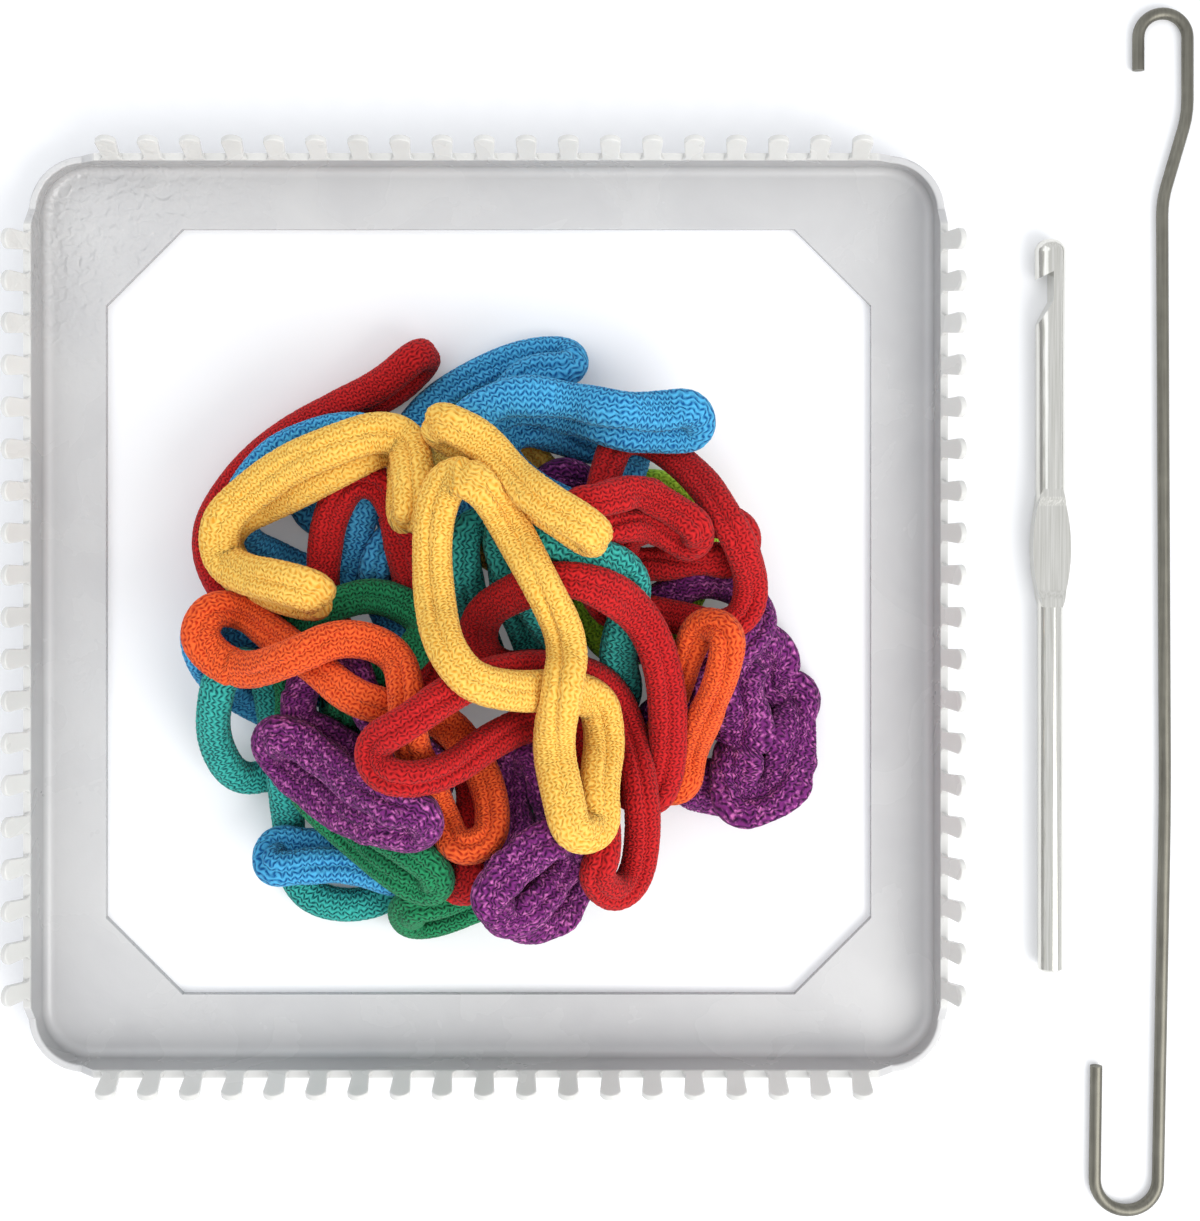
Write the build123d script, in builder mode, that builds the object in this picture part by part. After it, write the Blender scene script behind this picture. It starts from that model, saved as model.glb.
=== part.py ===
"""Square potholder loom with its weaving hook, crochet hook and a heap of knitted loops.

Millimetres.  The origin is the centre of the loom's square window, on the table that everything
lies on.  +Z is up, +Y points away from whoever weaves and the two hooks lie beside the +X side.
"""

from build123d import *
import math
import os

import numpy as np

# Loom: one moulding, a square tray whose wall carries a row of pegs on each side
WINDOW = 160.0            # side of the square window in the tray's floor
PEGS = 19                 # on each side
ROW_INSET = 3.797         # the outermost pegs' centres stand this far inside the window's sides,
                          # which makes it a third of an inch from peg to peg
WINDOW_CORNER = 16.0      # each corner of the window is cut off this far
LEDGE = 12.7              # width of the floor between the window and the wall
FLOOR = 2.0               # thickness of that floor
WALL = 1.5                # thickness of the wall
WALL_TOP = 12.6           # height of the notches between the pegs
RIM = 9.0                 # height of the rounded corners, which have no pegs
CORNER_RADIUS = 11.5      # outside, in plan
FOOT_ROUND = 3.5          # outside, where wall and floor meet
INNER_ROUND = 2.0         # inside, where wall and floor meet
RIM_ROUND = 0.45          # along the top of the corners
CORNER_SLOPE = 3.4        # length over which the rim drops from the notches to the corners
CORNER_MARGIN = 3.6       # wall that stays at full height past the last peg

# Pegs: waisted tabs that carry on from the wall and lean outwards
PEG_RISE = 7.0            # from the notch to the tip
PEG_LEAN = 23.5           # degrees from upright
PEG_FOOT = 5.8            # width where it leaves the wall
PEG_NECK = 3.5            # narrowest width
PEG_HEAD = 4.25           # widest part of the head
PEG_FLARE = 1.25          # height of the curve from foot to neck
FLARE_SHAPE = (0.28, 0.32)  # the curve's middle, as shares of its width and its height
PEG_SHOULDER = 1.5        # height of the rounded top
PEG_CORNER = 0.9          # rounding of the head's two corners
PEG_SOFTEN = 0.3          # rounding of the head's edges

# Weaving hook: one piece of wire, lying flat, with a crook at the back and a long hook in front
WIRE = 2.5
SHAFT_X = 141.2
CROOK_TOP = 125.2         # centre of the wire at the far end
CROOK_BACK = 146.3        # the crook's own straight side
CROOK_RADIUS = 5.1
CROOK_END = 113.3
CROOK_SHOULDER = 104.0    # where the crook's side starts to slant back to the shaft
CROOK_FOOT = 86.0         # where the slant meets the shaft
SHAFT_BOW = (0.4, -40.0)  # the shaft bows this far out, at this place
HOOK_BOTTOM = -125.3
HOOK_RADIUS = 6.5
HOOK_WIDTH = 13.2         # from the shaft to the returning end
HOOK_END = -95.1
HOOK_LEAN = 1.2           # the shaft leans in by this much before the long hook
HOOK_NIP = 0.4            # the returning end leans towards the shaft by this much
CROOK_PLAY = 0.1          # straight stretch between the crook's two bends
SHAFT_SET = 0.2           # the shaft starts this far inside its place below the crook
SLANT_RADIUS = 22.0
BOW_RADIUS = 900.0

# Crochet hook: a turned rod with a flattened thumb rest and a notched head
ROD = 6.0                 # diameter between head and thumb rest
GRIP = 5.2                # diameter of the plain end
ROD_X = 117.1
ROD_TIP = 77.8
ROD_END = -74.6
NOSE_WIDTH = 6.4          # the rounded head is a little wider than the rod
NOSE_FLAT = 0.4           # radius of the flat left at the very tip by turning
THROAT_TOP = 69.3         # lip of the notch
THROAT_FOOT = 56.2        # where the notch runs out
THROAT_DEPTH = 3.3
THROAT_LENGTH = 4.5       # of the notch's deepest stretch
LIP_RISE = 1.5            # the lip is undercut by this much
REST_TOP = 25.7
REST_FOOT = 1.2
REST_WIDTH = 7.9
REST_THICK = 3.8
REST_RUNOUT = 3.5
REST_ROUND = 0.6
END_CHAMFER = 0.5

# Loops: closed bands of curled knit, each about 190 mm round, thrown in a heap in the window
BAND = 5.6                # thickness of the rolled-up band
SPACE = 0.42              # air between one band and the next
FOLD = BAND + 2.6         # height of a loop's end where its two strands lie on each other
SHARE = 0.45              # a corner's curve takes this share of the shorter run beside it
SLOPE = 0.8               # steepest climb of a strand
FOLD_SLOPE = 0.15         # steepest climb beside a folded end
SAMPLE = 1.0              # distance between the points at which strands are compared
BACKWARDS = -0.85         # cosine of the turn past which a loop's end counts as folded
TWO_STRANDS = 1.7         # strands of one loop count as two when further apart along it than
                          # this many bands
PASSES = 3                # the route's curves and its heights are worked out in turn
SETTLED = 0.01            # heights have settled once none changes by more than this
DROP = 1.0                # most that a corner sinks in one round
ROUNDS = 120
CARRIES = 0.2             # a corner starts above what lies below points with this share in it
HOLDS = 0.35              # and is held up by the rules in which it has this share

# Plan of every loop, from the bottom of the heap to its top, as x and y of its corners.  The
# first and the last corner of a flattened loop lie at one end, one strand over the other.
LOOPS = [
    ("lime_loop_1", [(32.5, 27), (38.5, 25), (44, 20), (45, 11.5), (41.5, 2.5), (35, -6),
        (27, -8.5), (21.5, -3), (20.5, 5.5), (23, 13.5), (27, 22)]),
    ("yellow_loop_1", [(-5.5, 42), (3, 39), (10, 31.5), (15.5, 23), (12.5, 13.5), (3.5, 10),
        (-4.5, 16.5), (-7.5, 25.5), (-9, 34.5)]),
    ("purple_loop_1", [(15.5, 29.5), (21.5, 26.5), (23, 18), (20.5, 10), (13.5, 4.5), (6.5, 7.5),
        (5, 16), (8.5, 24)]),
    ("purple_loop_2", [(33.5, -24), (32.5, -31.5), (41.5, -35), (50.5, -37.5), (55, -30),
        (52, -21), (51.5, -12), (44, -11), (41.5, -21)]),
    ("purple_loop_3", [(51, -32), (52, -39), (60, -37.5), (62.5, -28), (65, -18), (58.5, -16),
        (60, -8.5), (52, -6.5), (51.5, -14.5), (53.5, -23)]),
    ("purple_loop_4", [(37.5, 4), (44.5, 7.5), (52.5, 5), (57, -0.5), (53.5, -6), (46.5, -8.5),
        (39, -10.5), (32, -6.5), (31.5, 0)]),
    ("red_loop_1", [(-12.5, 52.5), (-20.5, 45), (-32.5, 41), (-40, 36), (-48, 28.5),
        (-53.5, 20.5), (-54.5, 12.5), (-51.5, 5.5), (-43, 1), (-43.5, -0.5), (-52.5, 2.5),
        (-57, 10), (-57.5, 17.5), (-54, 24.5), (-47.5, 32), (-40, 38), (-31, 42.5), (-21.5, 47),
        (-13.5, 54)]),
    ("blue_loop_1", [(-11.5, 4.5), (-17.5, 12.5), (-21, 22), (-20.5, 31), (-16, 38.5),
        (-9.5, 45.5), (1, 51), (9, 54), (17, 54), (17.5, 50), (9, 50.5), (4, 45.5), (1, 38.5),
        (-3, 30), (-5, 21), (-5.5, 11.5)]),
    ("blue_loop_2", [(-30.5, 38), (-37.5, 36), (-45, 31.5), (-50, 24), (-50.5, 15), (-43.5, 11),
        (-34, 6.5), (-27.5, 11.5), (-32, 17.5), (-39, 21.5), (-37.5, 28.5), (-29, 29), (-21, 31),
        (-21.5, 37.5)]),
    ("blue_loop_3", [(-49.5, -6.5), (-51, 0.5), (-56.5, -0.5), (-57, -7), (-53.5, -14.5),
        (-47, -19.5), (-38.5, -23.5), (-28, -27.5), (-20.5, -31.5), (-17, -24.5), (-23.5, -20),
        (-31, -18), (-40, -14)]),
    ("teal_loop_1", [(-45, -9.5), (-51, -9), (-53.5, -15.5), (-55.5, -25.5), (-52, -35),
        (-43.5, -33.5), (-34, -37), (-24, -46), (-17.5, -53), (-20, -59), (-28, -61.5),
        (-36.5, -60), (-41, -54.5), (-41.5, -45), (-41.5, -34), (-43, -25), (-43.5, -16)]),
    ("blue_loop_4", [(-12.5, -50), (-19.5, -50), (-27.5, -49), (-36, -47.5), (-44, -46.5),
        (-44, -51.5), (-35.5, -50.5), (-27, -50.5), (-20.5, -53), (-12, -53.5)]),
    ("green_loop_1", [(15.5, -52.5), (7, -56.5), (-1, -60.5), (-9.5, -64), (-16.5, -65),
        (-16, -57.5), (-8, -57), (-1.5, -54), (3, -46.5), (8, -41.5), (15.5, -43), (22, -46),
        (22.5, -52)]),
    ("teal_loop_2", [(-31.5, -17), (-30, -25), (-23.5, -32), (-15.5, -31.5), (-12, -23.5),
        (-16.5, -16), (-25, -11.5)]),
    ("blue_loop_5", [(-25.5, 20.5), (-27.5, 13), (-31, 4.5), (-37.5, -4.5), (-31.5, -12.5),
        (-21.5, -12), (-18.5, -4.5), (-23, 4), (-22.5, 12.5), (-16, 19.5), (-17, 27),
        (-24, 27.5)]),
    ("red_loop_2", [(-19, 26.5), (-26, 28), (-31, 21), (-33, 11), (-33, 2), (-26.5, -7.5),
        (-17, -15), (-11, -11.5), (-12, -3.5), (-15.5, 5), (-16.5, 15)]),
    ("blue_loop_6", [(30.5, 34), (23.5, 34), (15.5, 36), (7.5, 38.5), (2.5, 34.5), (6, 28.5),
        (12.5, 24.5), (19.5, 20.5), (25, 24.5), (29.5, 29)]),
    ("red_loop_3", [(-6.5, -53), (-7, -46.5), (-11.5, -43), (-16, -37), (-13.5, -29.5),
        (-6, -27.5), (-1.5, -33.5), (-2, -42), (-2, -52.5)]),
    ("green_loop_2", [(-10.5, -1), (-21.5, 5), (-31, 2.5), (-38.5, -1), (-39.5, -9),
        (-38, -17.5), (-40.5, -27), (-36.5, -36.5), (-27, -44.5), (-17, -50.5), (-9.5, -53.5),
        (-7.5, -48.5), (-15.5, -43), (-26, -38.5), (-31.5, -31), (-30, -21), (-23.5, -12.5),
        (-14.5, -8)]),
    ("purple_loop_5", [(5.5, -27.5), (6.5, -37.5), (4, -45.5), (4, -55.5), (9, -60),
        (16.5, -58), (18.5, -50.5), (15, -42), (13, -34), (11.5, -27)]),
    ("purple_loop_6", [(5, -58), (11, -55), (15.5, -50.5), (19.5, -44.5), (15, -40.5), (8, -45),
        (1, -52.5)]),
    ("teal_loop_3", [(8.5, -4.5), (5, 3), (3.5, 11), (2.5, 18.5), (-4, 18.5), (-4.5, 9.5),
        (-2.5, 1.5), (-1, -7.5), (3, -14.5), (10, -12)]),
    ("red_loop_4", [(51.5, 10.5), (43.5, 12), (34.5, 10), (27.5, 11), (28.5, 18), (39.5, 19),
        (47, 20), (53, 17)]),
    ("red_loop_5", [(23, 22), (24.5, 29.5), (27, 36), (34, 36), (43.5, 28), (48, 21),
        (51.5, 14.5), (54, 7), (53, 0.5), (47.5, -2.5), (39.5, -0.5), (32.5, 1), (26, -0.5),
        (21.5, 5), (20.5, 13.5)]),
    ("red_loop_6", [(18.5, 17.5), (26, 18), (33, 19.5), (41.5, 14), (43.5, 18), (37, 22),
        (31, 26), (25, 24), (17.5, 23)]),
    ("teal_loop_4", [(7, 21.5), (13, 17.5), (18.5, 12.5), (25, 12.5), (30.5, 7.5), (28.5, -0.5),
        (26.5, -8.5), (29, -17.5), (23, -23.5), (16.5, -18), (15.5, -7), (11.5, 0.5), (6, 8.5),
        (3, 16)]),
    ("orange_loop_1", [(33.5, -36), (35, -26.5), (38, -17), (41, -7), (43.5, -0.5), (49, -2),
        (47.5, -11), (44.5, -19.5), (41.5, -28.5), (40.5, -35.5)]),
    ("purple_loop_7", [(-37.5, -20), (-29.5, -24), (-21.5, -31), (-14, -37.5), (-7.5, -32.5),
        (-13.5, -25.5), (-21, -20.5), (-23.5, -12.5), (-27.5, -6.5), (-35, -10.5)]),
    ("red_loop_7", [(3.5, -12), (11.5, -10), (19.5, -15), (24.5, -24), (27, -35), (34, -37.5),
        (37, -30), (37, -16.5), (35, -6), (30.5, 2), (23.5, 7), (15.5, 9), (6.5, 5.5),
        (-0.5, 1), (-2, -7)]),
    ("blue_loop_7", [(-2.5, 36.5), (3.5, 42), (10, 42.5), (17.5, 41), (25.5, 37.5), (34.5, 36.5),
        (43, 37), (42, 42.5), (34.5, 41), (26, 41.5), (17.5, 43.5), (9, 44.5), (2.5, 43.5),
        (-4, 38.5)]),
    ("yellow_loop_2", [(22, 16), (14.5, 21), (7, 26), (0, 32.5), (-8.5, 37.5), (-7, 39.5),
        (1, 35), (6, 29), (12, 24), (22.5, 18)]),
    ("yellow_loop_3", [(-32.5, 3.5), (-41, 5.5), (-49.5, 8), (-54, 14.5), (-50, 20), (-43, 23),
        (-33.5, 27.5), (-25.5, 31.5), (-20, 34.5), (-15.5, 33), (-14.5, 27.5), (-15, 20.5),
        (-12.5, 20.5), (-13, 29), (-14.5, 35.5), (-20, 37.5), (-28.5, 34.5), (-38.5, 30.5),
        (-46.5, 25), (-52, 19.5), (-52.5, 12), (-47, 9), (-39, 8), (-31.5, 6)]),
    ("orange_loop_2", [(-52, -8), (-56, -3), (-53.5, 2.5), (-47.5, 1.5), (-41.5, -3),
        (-32.5, -8), (-24.5, -14), (-17, -16.5), (-7.5, -19), (-0.5, -28.5), (2.5, -36.5),
        (2, -42.5), (-4.5, -44), (-8, -38), (-10.5, -30), (-13.5, -22), (-13.5, -13),
        (-16, -5.5), (-26, -2), (-36, -6.5), (-45.5, -10)]),
    ("purple_loop_8", [(-10.5, -40.5), (-18.5, -39.5), (-28.5, -37), (-37, -32), (-42.5, -27),
        (-40.5, -21), (-33, -25), (-24.5, -30.5), (-17.5, -33.5), (-9.5, -35)]),
    ("red_loop_8", [(24.5, -44.5), (22, -50), (26, -55), (30.5, -52.5), (32, -43.5),
        (31.5, -33.5), (29.5, -23), (25, -13.5), (15.5, -9.5), (4, -9), (-5, -12.5), (-13, -18),
        (-20, -22), (-19, -27.5), (-13, -29), (-5.5, -28), (2, -23), (10, -20), (18.5, -23.5),
        (23, -33.5)]),
    ("yellow_loop_4", [(-6, 28.5), (-9, 20.5), (-9, 6), (-6, -5), (1.5, -12.5), (22.5, -13.5),
        (24.5, -23), (23, -32), (24, -40), (18, -40.5), (16, -32), (14, -23.5), (16, -12.5),
        (17.5, -3.5), (12, 8), (5.5, 19.5), (0.5, 27.5)]),
]

os.makedirs("parts", exist_ok=True)


def keep(part, name):
    """Label a finished piece and write it under its own name."""
    part.label = name
    export_step(part, f"parts/{name}.step")


# ---------------------------------------------------------------- loom frame
inner_half = WINDOW / 2 + LEDGE
outer_half = inner_half + WALL
row_half = WINDOW / 2 - ROW_INSET
pitch = 2 * row_half / (PEGS - 1)
full_wall = row_half + CORNER_MARGIN

with BuildPart() as loom_frame:
    with BuildSketch():
        RectangleRounded(2 * outer_half, 2 * outer_half, CORNER_RADIUS)
    extrude(amount=WALL_TOP)
    fillet(loom_frame.edges().group_by(Axis.Z)[0], FOOT_ROUND)
    with BuildPart(mode=Mode.PRIVATE) as hollow:
        with BuildSketch(Plane.XY.offset(FLOOR)):
            RectangleRounded(2 * inner_half, 2 * inner_half, CORNER_RADIUS - WALL)
        extrude(amount=WALL_TOP)
        fillet(hollow.edges().group_by(Axis.Z)[0], INNER_ROUND)
    add(hollow.part, mode=Mode.SUBTRACT)
    with BuildSketch() as window:
        Rectangle(WINDOW, WINDOW)
        chamfer(window.vertices(), WINDOW_CORNER)
    extrude(amount=FLOOR, mode=Mode.SUBTRACT)
    # The rim drops at the four corners, along a slope at each end
    corner_cut = outer_half - full_wall
    with BuildPart(mode=Mode.PRIVATE) as corner:
        with BuildSketch(Plane.XY.offset(WALL_TOP)):
            Rectangle(2 * corner_cut, 2 * corner_cut)
        with BuildSketch(Plane.XY.offset(RIM)):
            Rectangle(2 * corner_cut - 2 * CORNER_SLOPE, 2 * corner_cut - 2 * CORNER_SLOPE)
        loft(ruled=True)
    with GridLocations(2 * outer_half, 2 * outer_half, 2, 2):
        add(corner.part, mode=Mode.SUBTRACT)
    fillet(loom_frame.edges().filter_by(lambda e: abs(e.center().Z - RIM) < 0.01
                                        and e.bounding_box().size.Z < 0.01
                                        and e.length > 2 * WALL), RIM_ROUND)
keep(loom_frame.part, "loom_frame")

# ---------------------------------------------------------------- pegs
lean = math.radians(PEG_LEAN)
peg_length = PEG_RISE / math.cos(lean)
peg_thick = WALL * math.cos(lean)
peg_plane = Plane(origin=(0, inner_half, WALL_TOP), x_dir=(1, 0, 0),
                  z_dir=(0, -math.cos(lean), math.sin(lean)))

with BuildPart() as peg:
    with BuildSketch(peg_plane) as tab:
        with BuildLine():
            flare = ThreePointArc(
                (PEG_FOOT / 2, 0),
                (PEG_NECK / 2 + FLARE_SHAPE[0] * (PEG_FOOT - PEG_NECK) / 2,
                 FLARE_SHAPE[1] * PEG_FLARE),
                (PEG_NECK / 2, PEG_FLARE))
            Line(flare @ 1, (PEG_HEAD / 2, peg_length - PEG_SHOULDER))
            Line((PEG_FOOT / 2, -WALL), (PEG_FOOT / 2, 0))
            mirror(about=Plane.YZ)
            Line((-PEG_FOOT / 2, -WALL), (PEG_FOOT / 2, -WALL))
            ThreePointArc((PEG_HEAD / 2, peg_length - PEG_SHOULDER), (0, peg_length),
                          (-PEG_HEAD / 2, peg_length - PEG_SHOULDER))
        make_face()
        fillet(tab.vertices().group_by(Axis.Y)[-1], PEG_CORNER)
    extrude(amount=-peg_thick)
    fillet(peg.edges().filter_by(lambda e: e.center().Z > WALL_TOP + PEG_RISE - PEG_SHOULDER
                                 and e.length > peg_thick * 1.2), PEG_SOFTEN)
    split(bisect_by=Plane.XY.offset(WALL_TOP))

for name, turn in (("pegs_back", 0), ("pegs_left", 90), ("pegs_front", 180), ("pegs_right", 270)):
    with BuildPart() as pegs:
        with PolarLocations(0, 1, start_angle=turn):
            with GridLocations(pitch, 0, PEGS, 1):
                add(peg.part)
    keep(pegs.part, name)

# ---------------------------------------------------------------- weaving hook
shaft_foot = SHAFT_X - HOOK_LEAN
crook_front = CROOK_BACK - 2 * CROOK_RADIUS - CROOK_PLAY
wire_route = [
    (crook_front, CROOK_END),
    (crook_front, CROOK_TOP),
    (CROOK_BACK, CROOK_TOP),
    (CROOK_BACK, CROOK_SHOULDER),
    (SHAFT_X - SHAFT_SET, CROOK_FOOT),
    (SHAFT_X + SHAFT_BOW[0], SHAFT_BOW[1]),
    (shaft_foot, HOOK_BOTTOM),
    (shaft_foot - HOOK_WIDTH, HOOK_BOTTOM),
    (shaft_foot - HOOK_WIDTH + HOOK_NIP, HOOK_END),
]
wire_bends = [CROOK_RADIUS, CROOK_RADIUS, SLANT_RADIUS, SLANT_RADIUS, BOW_RADIUS, HOOK_RADIUS,
              HOOK_RADIUS]

with BuildPart() as weaving_hook:
    with BuildLine() as wire_line:
        FilletPolyline(*[(x, y, WIRE / 2) for x, y in wire_route], radius=wire_bends)
    with BuildSketch(Plane(origin=wire_line.line @ 0, z_dir=wire_line.line % 0)):
        Circle(WIRE / 2)
    sweep(path=wire_line.line)
keep(weaving_hook.part, "weaving_hook")

# ---------------------------------------------------------------- crochet hook
nose_radius = NOSE_WIDTH / 2
rod_plane = Plane(origin=(ROD_X, 0, nose_radius), x_dir=(1, 0, 0), z_dir=(0, 0, 1))
rest_end = GRIP / 2 - REST_ROUND

with BuildPart() as crochet_hook:
    with BuildSketch(rod_plane):
        with BuildLine():
            nose = RadiusArc((NOSE_FLAT, ROD_TIP), (nose_radius, ROD_TIP - nose_radius + NOSE_FLAT),
                             nose_radius - NOSE_FLAT)
            Polyline(nose @ 1,
                     (ROD / 2, THROAT_FOOT),
                     (ROD / 2, REST_TOP),
                     (GRIP / 2, REST_FOOT),
                     (GRIP / 2, ROD_END + END_CHAMFER),
                     (GRIP / 2 - END_CHAMFER, ROD_END),
                     (0, ROD_END),
                     (0, ROD_TIP),
                     nose @ 0)
        make_face()
    revolve(axis=Axis(rod_plane.origin, (0, 1, 0)))
    # Thumb rest: wider than the rod, and milled flat above and below with a slope at each end
    with BuildSketch(rod_plane.offset(-ROD / 2)):
        with BuildLine():
            Line((-rest_end, REST_TOP), (rest_end, REST_TOP))
            ThreePointArc((rest_end, REST_TOP), (REST_WIDTH / 2, (REST_TOP + REST_FOOT) / 2),
                          (rest_end, REST_FOOT))
            Line((rest_end, REST_FOOT), (-rest_end, REST_FOOT))
            ThreePointArc((-rest_end, REST_FOOT), (-REST_WIDTH / 2, (REST_TOP + REST_FOOT) / 2),
                          (-rest_end, REST_TOP))
        make_face()
    extrude(amount=ROD)
    side_view = Plane(origin=(ROD_X - ROD, 0, nose_radius), x_dir=(0, 1, 0), z_dir=(1, 0, 0))
    with BuildSketch(side_view):
        with BuildLine():
            Polyline((REST_FOOT - REST_RUNOUT, ROD),
                     (REST_FOOT + REST_RUNOUT, REST_THICK / 2),
                     (REST_TOP - REST_RUNOUT, REST_THICK / 2),
                     (REST_TOP + REST_RUNOUT, ROD),
                     (REST_FOOT - REST_RUNOUT, ROD))
        make_face()
        mirror(about=Plane.XZ)
    extrude(amount=2 * ROD, mode=Mode.SUBTRACT)
    # Notch under the head
    with BuildSketch(rod_plane.offset(-ROD)):
        with BuildLine():
            Polyline((-ROD, THROAT_TOP - LIP_RISE),
                     (-nose_radius + THROAT_DEPTH, THROAT_TOP + LIP_RISE),
                     (-nose_radius + THROAT_DEPTH, THROAT_TOP - THROAT_LENGTH),
                     (-ROD, THROAT_FOOT - LIP_RISE),
                     (-ROD, THROAT_TOP - LIP_RISE))
        make_face()
    extrude(amount=2 * ROD, mode=Mode.SUBTRACT)
keep(crochet_hook.part, "crochet_hook")


# ---------------------------------------------------------------- loops
def corners(route):
    """Radius, half turn, tangent length and preceding run of each corner of a closed route."""
    run = route - np.roll(route, 1, 0)
    length = np.linalg.norm(run, axis=1)
    after = np.roll(length, -1)
    cosine = (run * np.roll(run, -1, 0)).sum(1) / (length * after)
    half_turn = np.arccos(np.clip(cosine, -0.99999, 0.99999999)) / 2
    tangent = SHARE * np.minimum(length, after)
    return tangent / np.tan(half_turn), half_turn, tangent, length


def along(route):
    """Points along the rounded closed route, their weights on its corners and their distances."""
    radius, half_turn, tangent, length = corners(route)
    weights = []
    places = []
    total = 0.0
    for i in range(len(route)):
        after = (i + 1) % len(route)
        straight = length[i] - tangent[i - 1] - tangent[i]
        steps = max(1, int(straight / SAMPLE))
        for step in range(steps):
            back = (tangent[i] + straight * (1 - step / steps)) / length[i]
            weights.append(((i - 1, back), (i, 1 - back)))
            places.append(total + straight * step / steps)
        total += straight
        arc = 2 * half_turn[i] * radius[i]
        steps = max(2, int(arc / SAMPLE))
        for step in range(steps):
            angle = 2 * half_turn[i] * step / steps
            rise = radius[i] * (1 - math.cos(angle))
            back = (tangent[i] - radius[i] * math.sin(angle)
                    + rise / math.tan(2 * half_turn[i])) / length[i]
            ahead = rise / math.sin(2 * half_turn[i]) / length[after]
            weights.append(((i - 1, back), (i, 1 - back - ahead), (after, ahead)))
            places.append(total + arc * step / steps)
        total += arc
    matrix = np.zeros((len(weights), len(route)))
    for row, terms in enumerate(weights):
        for corner_index, weight in terms:
            matrix[row, corner_index] += weight
    return matrix @ route, matrix, np.array(places), total


def lay(plan, heap):
    """The plan's route in space, so that its band lies on the heap's points and on itself."""
    count = len(plan)
    reach = BAND + SPACE
    one = np.eye(count)
    run = np.linalg.norm(plan - np.roll(plan, 1, 0), axis=1)
    folded = []
    for i in range(count):
        j = (i + 1) % count
        before = plan[i] - plan[i - 1]
        after = plan[(j + 1) % count] - plan[j]
        back = np.dot(before, after) / (np.linalg.norm(before) * np.linalg.norm(after))
        folded.append(run[j] < FOLD and back < BACKWARDS)
    # A fold stands up by its own height, and every other run climbs gently
    shape_rules = [one]
    shape_bounds = [np.full(count, BAND / 2)]
    for i in range(count):
        j = (i + 1) % count
        low, high = min(i, j), max(i, j)
        if folded[i]:
            shape_rules.append((one[high] - one[low])[None])
            shape_bounds.append([math.sqrt(FOLD ** 2 - run[j] ** 2)])
        else:
            steep = FOLD_SLOPE if folded[i - 1] or folded[j] else SLOPE
            shape_rules.append(np.array([one[high] - one[low], one[low] - one[high]]))
            shape_bounds.append([-steep * run[j]] * 2)
    route = np.column_stack([plan, np.zeros(count)])
    for _ in range(PASSES):
        points, matrix, places, total = along(route)
        spots = points[:, :2]
        least = np.full(len(points), BAND / 2)
        if len(heap):
            apart = ((spots[:, None, :] - heap[None, :, :2]) ** 2).sum(2)
            over = heap[None, :, 2] + np.sqrt(np.clip(reach ** 2 - apart, 0, None))
            least = np.maximum(least, np.where(apart < reach ** 2, over, 0).max(1))
        # Where the loop crosses itself, the later strand lies on the earlier one
        ahead = places[:, None] - places[None, :]
        gap = np.minimum(ahead % total, (-ahead) % total)
        apart = ((spots[:, None, :] - spots[None, :, :]) ** 2).sum(2)
        crossing = (apart < reach ** 2) & (gap > TWO_STRANDS * reach) & (ahead > 0)
        upper, lower = np.nonzero(crossing)
        rules = np.vstack([matrix, matrix[upper] - matrix[lower]] + shape_rules)
        bounds = np.concatenate([least, np.sqrt(reach ** 2 - apart[upper, lower])] + shape_bounds)
        # Start above everything and let each corner sink until a rule holds it
        height = np.array([least[matrix[:, i] > CARRIES].max() for i in range(count)])
        own = [np.nonzero(rules[:, i] >= HOLDS)[0] for i in range(count)]
        for _ in range(ROUNDS):
            old = height.copy()
            for i in range(count):
                mine = rules[own[i]]
                held = ((bounds[own[i]] - mine @ height) / mine[:, i] + height[i]).max()
                height[i] = max(held, height[i] - DROP)
            if abs(height - old).max() < SETTLED:
                break
        route = np.column_stack([plan, height])
    return route


heap = np.zeros((0, 3))
for name, plan in LOOPS:
    route = lay(np.array(plan, dtype=float), heap)
    heap = np.vstack([heap, along(route)[0]])
    points = [tuple(float(value) for value in point) for point in route]
    start = tuple((a + b) / 2 for a, b in zip(points[-1], points[0]))
    middle = len(points) // 2
    half_way = tuple((a + b) / 2 for a, b in zip(points[middle - 1], points[middle]))
    radii = [float(radius) for radius in corners(route)[0]]
    halves = (([start] + points[:middle] + [half_way], radii[:middle]),
              ([half_way] + points[middle:] + [start], radii[middle:]))
    with BuildPart() as loop:
        for run, bends in halves:
            with BuildLine() as centre:
                FilletPolyline(*run, radius=bends)
            with BuildSketch(Plane(origin=centre.line @ 0, z_dir=centre.line % 0)):
                Circle(BAND / 2)
            sweep(path=centre.line)
    keep(loop.part, name)
    round_length = along(route)[3]
    swept = math.pi * (BAND / 2) ** 2 * round_length
    print(f"{name}: {round_length:.0f} mm round, tightest bend {min(radii):.2f}, "
          f"volume {loop.part.volume:.0f} of {swept:.0f}")
print(f"heap: {heap[:, 2].max() + BAND / 2:.1f} mm high")
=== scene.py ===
"""Looks of the potholder loom, its two hooks and its heap of knitted loops.

Metres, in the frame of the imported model: the origin is the centre of the loom's window, on the
table.  The plans of the loops are in millimetres, as in the part's own source.
"""

import math

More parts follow.
